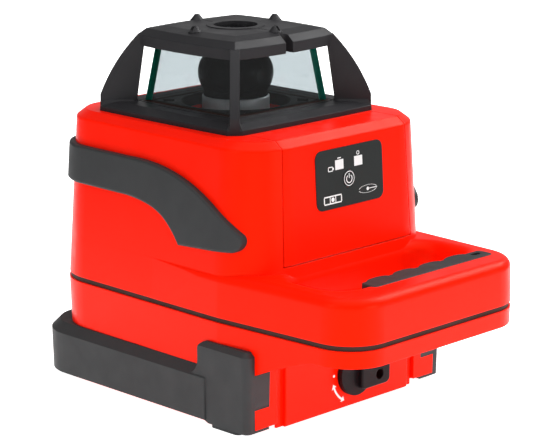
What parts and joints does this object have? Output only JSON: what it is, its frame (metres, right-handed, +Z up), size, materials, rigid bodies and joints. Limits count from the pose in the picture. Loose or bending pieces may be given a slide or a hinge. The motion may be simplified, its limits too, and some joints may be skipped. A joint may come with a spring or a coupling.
{
  "type": "rotating laser level",
  "caption": "Self-levelling rotating laser with a guarded rotor head, carrying handle, rubber bumpers, keypad and a drawer-type battery tray.",
  "frame": {"origin": "centre of the tripod thread's mouth, on the surface that the feet stand on, under the rotor's axis", "axes": "+Z up along the rotor's axis, -Y towards the keypad, handle and battery door, +X to the right seen from the front"},
  "size_m": [0.16, 0.2485, 0.2093],
  "materials": {
    "housing_plastic": "satin moulded ABS",
    "guard_plastic": "fine-textured glass-filled nylon",
    "guard_rubber": "overmoulded elastomer",
    "seal_rubber": "matt",
    "tinted_glass": "polished float glass",
    "clear_glass": "polished",
    "keypad_film": "fine-grained printed film",
    "status_lens": "translucent",
    "button_plastic": "satin",
    "knob_plastic": "fine texture",
    "rotor_black": "polished",
    "bare_aluminium": "turned",
    "steel": "zinc plated",
    "brass": "turned",
    "circuit_board": "solder mask",
    "chip_black": "moulded epoxy",
    "tray_plastic": "satin",
    "cell_jacket": "printed jacket, no lettering"
  },
  "bodies": {
    "housing": {"base_bumper": "guard_rubber", "board_components": "chip_black", "button_switch": "chip_black", "chassis_screws": "steel", "front_cover": "housing_plastic", "glass_front": "tinted_glass", "glass_left": "tinted_glass", "glass_rear": "tinted_glass", "glass_right": "tinted_glass", "glass_seal": "seal_rubber", "guard_screws": "steel", "handle_grip": "guard_rubber", "handle_screws": "steel", "head_chassis": "bare_aluminium", "housing_gasket": "seal_rubber", "housing_screws": "steel", "keypad_board": "circuit_board", "keypad_label": "keypad_film", "level_motor_x": "steel", "level_motor_y": "steel", "lower_housing": "housing_plastic", "main_board": "circuit_board", "plate_screws": "steel", "ring_pins": "steel", "side_band": "guard_rubber", "status_windows": "status_lens", "top_guard": "guard_plastic", "top_window": "clear_glass", "tripod_plate": "bare_aluminium", "upper_housing": "housing_plastic"},
    "gimbal_ring": {"gimbal_ring": "bare_aluminium"},
    "laser_core": {"laser_core": "bare_aluminium", "laser_module": "bare_aluminium", "collimator_lens": "clear_glass", "core_pins": "steel", "sensor_board": "circuit_board", "level_vials": "clear_glass", "rotor_motor": "steel", "drive_belt": "seal_rubber", "bearing_inner_races": "steel", "bearing_balls": "steel"},
    "rotor": {"rotor_housing": "rotor_black", "aperture_window": "clear_glass", "pentaprism": "clear_glass", "rotor_hub": "bare_aluminium", "rotor_pulley": "bare_aluminium", "bearing_outer_races": "steel"},
    "motor_shaft": {"motor_pulley": "brass"},
    "level_plunger_x": {"level_plunger_x": "steel"},
    "level_plunger_y": {"level_plunger_y": "steel"},
    "power_button": {"power_button": "button_plastic"},
    "battery_tray": {"battery_tray": "tray_plastic", "battery_door": "housing_plastic", "battery_contacts": "steel", "battery_cell_1": "cell_jacket", "battery_cell_2": "cell_jacket", "battery_cell_3": "cell_jacket", "battery_cell_4": "cell_jacket"},
    "latch": {"latch_knob": "knob_plastic", "latch_tongue": "steel"}
  },
  "joints": [
    {"name": "level_x", "type": "hinge", "parent": "housing", "child": "gimbal_ring", "pos_m": [0, 0, 0.13], "axis": [1, 0, 0], "range_deg": [-5, 5]},
    {"name": "level_y", "type": "hinge", "parent": "gimbal_ring", "child": "laser_core", "pos_m": [0, 0, 0.13], "axis": [0, 1, 0], "range_deg": [-5, 5]},
    {"name": "rotor_spin", "type": "hinge", "parent": "laser_core", "child": "rotor", "pos_m": [0, 0, 0.16], "axis": [0, 0, 1], "continuous": true},
    {"name": "motor_spin", "type": "hinge", "parent": "laser_core", "child": "motor_shaft", "pos_m": [-0.02, 0, 0.146], "axis": [0, 0, 1], "continuous": true},
    {"name": "plunger_x_slide", "type": "slide", "parent": "housing", "child": "level_plunger_x", "axis": [0, 0, 1], "range_m": [-0.0027, 0.0027]},
    {"name": "plunger_y_slide", "type": "slide", "parent": "housing", "child": "level_plunger_y", "axis": [0, 0, 1], "range_m": [-0.0038, 0.0038]},
    {"name": "button_press", "type": "slide", "parent": "housing", "child": "power_button", "axis": [0, 0.998, -0.0628], "range_m": [0, 0.0006], "stiffness_N_per_m": 1500},
    {"name": "tray_slide", "type": "slide", "parent": "housing", "child": "battery_tray", "axis": [0, -1, 0], "range_m": [0, 0.125]},
    {"name": "latch_turn", "type": "hinge", "parent": "battery_tray", "child": "latch", "pos_m": [0.0045, -0.0887, 0.0205], "axis": [0, -1, 0], "range_deg": [0, 90]}
  ],
  "couplings": [
    {"joint": "plunger_x_slide", "follows": "level_y", "m_per_rad": -0.03},
    {"joint": "plunger_y_slide", "follows": "level_x", "m_per_rad": 0.042},
    {"joint": "motor_spin", "follows": "rotor_spin", "ratio": 3.25}
  ]
}
